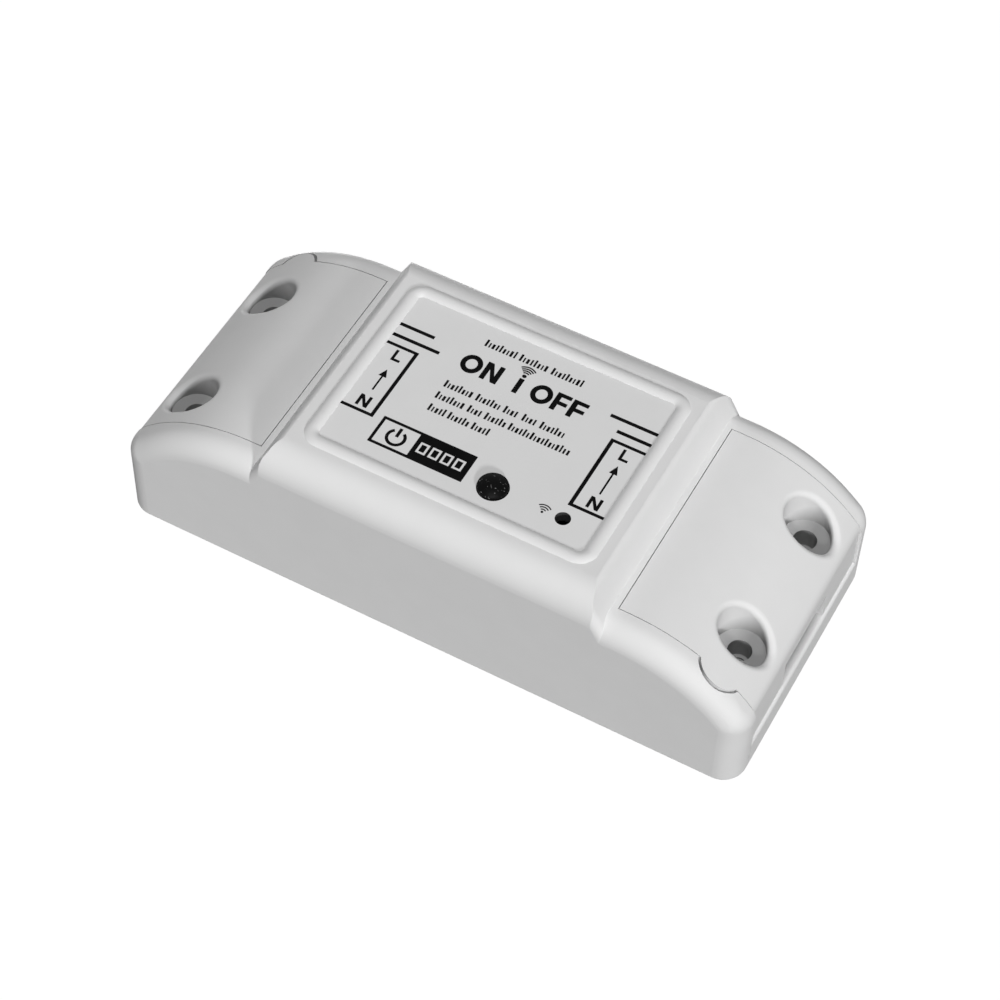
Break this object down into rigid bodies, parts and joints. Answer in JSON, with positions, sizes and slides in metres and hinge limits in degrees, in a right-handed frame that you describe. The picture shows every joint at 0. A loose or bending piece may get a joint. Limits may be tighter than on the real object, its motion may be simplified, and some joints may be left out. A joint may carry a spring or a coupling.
{
  "type": "smart relay module",
  "caption": "In-line smart relay module: white casing with a raised middle and sloping end covers over screw terminals, a push button and a status light, with its relay board inside.",
  "frame": {"origin": "centre of the underside that lies against the wall or table", "axes": "+X along the module towards the output end, +Y across it away from the push button, +Z out of the wall"},
  "size_m": [0.088, 0.039, 0.0249],
  "materials": {
    "casing_white": "fine satin",
    "button_black": "satin",
    "switch_black": "matte",
    "board_green": "solder-resist gloss",
    "terminal_moulding": "satin",
    "terminal_brass": "tinned",
    "plated_steel": "zinc plated",
    "lamp_lens": "clear satin",
    "tinned_lead": "tinned",
    "relay_moulding": "satin",
    "winding_wire": "enamelled",
    "winding_tape": "tape",
    "relay_iron": "plated",
    "contact_silver": "bright",
    "ferrite": "matte",
    "capacitor_can": "sleeved",
    "varistor_coat": "coated",
    "resistor_body": "lacquered",
    "chip_body": "moulded",
    "chip_ceramic": "fired",
    "crystal_can": "plated"
  },
  "bodies": {
    "module": {"base_plate": "casing_white", "bridge_rectifier": "chip_body", "bulk_capacitors": "capacitor_can", "chip_capacitors": "chip_ceramic", "chip_leads": "tinned_lead", "chip_resistors": "chip_body", "control_board": "board_green", "converter_chip": "chip_body", "crystal": "crystal_can", "driver_transistor": "chip_body", "filter_choke_core": "ferrite", "filter_choke_winding": "winding_wire", "flash_chip": "chip_body", "fuse_resistor": "resistor_body", "input_terminal_block": "terminal_moulding", "input_terminal_contacts": "terminal_brass", "output_capacitors": "capacitor_can", "output_diode": "chip_body", "output_terminal_block": "terminal_moulding", "output_terminal_contacts": "terminal_brass", "relay_base": "relay_moulding", "relay_bobbin": "relay_moulding", "relay_case": "relay_moulding", "relay_coil_pins": "tinned_lead", "relay_core": "relay_iron", "relay_fixed_contacts": "contact_silver", "relay_winding": "winding_wire", "relay_yoke": "relay_iron", "status_led": "lamp_lens", "status_led_leads": "tinned_lead", "tact_switch_base": "switch_black", "tact_switch_plate": "plated_steel", "transformer_bobbin": "relay_moulding", "transformer_cores": "ferrite", "transformer_pins": "tinned_lead", "transformer_winding": "winding_tape", "upper_housing": "casing_white", "varistor": "varistor_coat", "voltage_regulator": "chip_body", "wifi_antenna": "winding_wire", "wifi_chip": "chip_body"},
    "input_cover": {"input_end_cover": "casing_white"},
    "output_cover": {"output_end_cover": "casing_white"},
    "button": {"button_cap": "button_black", "tact_switch_plunger": "switch_black"},
    "relay_armature": {"relay_armature": "relay_iron", "relay_contact_spring": "contact_silver", "relay_moving_contact": "contact_silver"},
    "input_live_screw": {"input_live_screw": "plated_steel"},
    "input_live_clamp": {"input_live_clamp": "plated_steel"},
    "input_neutral_screw": {"input_neutral_screw": "plated_steel"},
    "input_neutral_clamp": {"input_neutral_clamp": "plated_steel"},
    "output_live_screw": {"output_live_screw": "plated_steel"},
    "output_live_clamp": {"output_live_clamp": "plated_steel"},
    "output_neutral_screw": {"output_neutral_screw": "plated_steel"},
    "output_neutral_clamp": {"output_neutral_clamp": "plated_steel"}
  },
  "joints": [
    {"name": "input_cover_lift", "type": "slide", "parent": "module", "child": "input_cover", "axis": [0, 0, 1], "range_m": [0, 0.015]},
    {"name": "output_cover_lift", "type": "slide", "parent": "module", "child": "output_cover", "axis": [0, 0, 1], "range_m": [0, 0.015]},
    {"name": "button_press", "type": "slide", "parent": "module", "child": "button", "axis": [0, 0, -1], "range_m": [0, 0.0003], "stiffness_N_per_m": 3000, "springref_m": -0.0003},
    {"name": "relay_armature_pull", "type": "hinge", "parent": "module", "child": "relay_armature", "pos_m": [0.00395, 0.00695, 0.01765], "axis": [0, 1, 0], "range_deg": [0, 3], "stiffness_Nm_per_rad": 0.05, "springref_deg": -5.73},
    {"name": "input_live_screw_turn", "type": "hinge", "parent": "module", "child": "input_live_screw", "pos_m": [-0.03, 0.00221, 0.0144], "axis": [0, 0, -1], "range_deg": [0, 2160]},
    {"name": "input_live_clamp_rise", "type": "slide", "parent": "module", "child": "input_live_clamp", "axis": [0, 0, 1], "range_m": [0, 0.0027]},
    {"name": "input_neutral_screw_turn", "type": "hinge", "parent": "module", "child": "input_neutral_screw", "pos_m": [-0.03, -0.00541, 0.0144], "axis": [0, 0, -1], "range_deg": [0, 2160]},
    {"name": "input_neutral_clamp_rise", "type": "slide", "parent": "module", "child": "input_neutral_clamp", "axis": [0, 0, 1], "range_m": [0, 0.0027]},
    {"name": "output_live_screw_turn", "type": "hinge", "parent": "module", "child": "output_live_screw", "pos_m": [0.03, 0.00221, 0.0144], "axis": [0, 0, -1], "range_deg": [0, 2160]},
    {"name": "output_live_clamp_rise", "type": "slide", "parent": "module", "child": "output_live_clamp", "axis": [0, 0, 1], "range_m": [0, 0.0027]},
    {"name": "output_neutral_screw_turn", "type": "hinge", "parent": "module", "child": "output_neutral_screw", "pos_m": [0.03, -0.00541, 0.0144], "axis": [0, 0, -1], "range_deg": [0, 2160]},
    {"name": "output_neutral_clamp_rise", "type": "slide", "parent": "module", "child": "output_neutral_clamp", "axis": [0, 0, 1], "range_m": [0, 0.0027]}
  ],
  "couplings": [
    {"joint": "input_live_screw_turn", "follows": "input_live_clamp_rise", "rad_per_m": 13962},
    {"joint": "input_neutral_screw_turn", "follows": "input_neutral_clamp_rise", "rad_per_m": 13962},
    {"joint": "output_live_screw_turn", "follows": "output_live_clamp_rise", "rad_per_m": 13962},
    {"joint": "output_neutral_screw_turn", "follows": "output_neutral_clamp_rise", "rad_per_m": 13962}
  ]
}
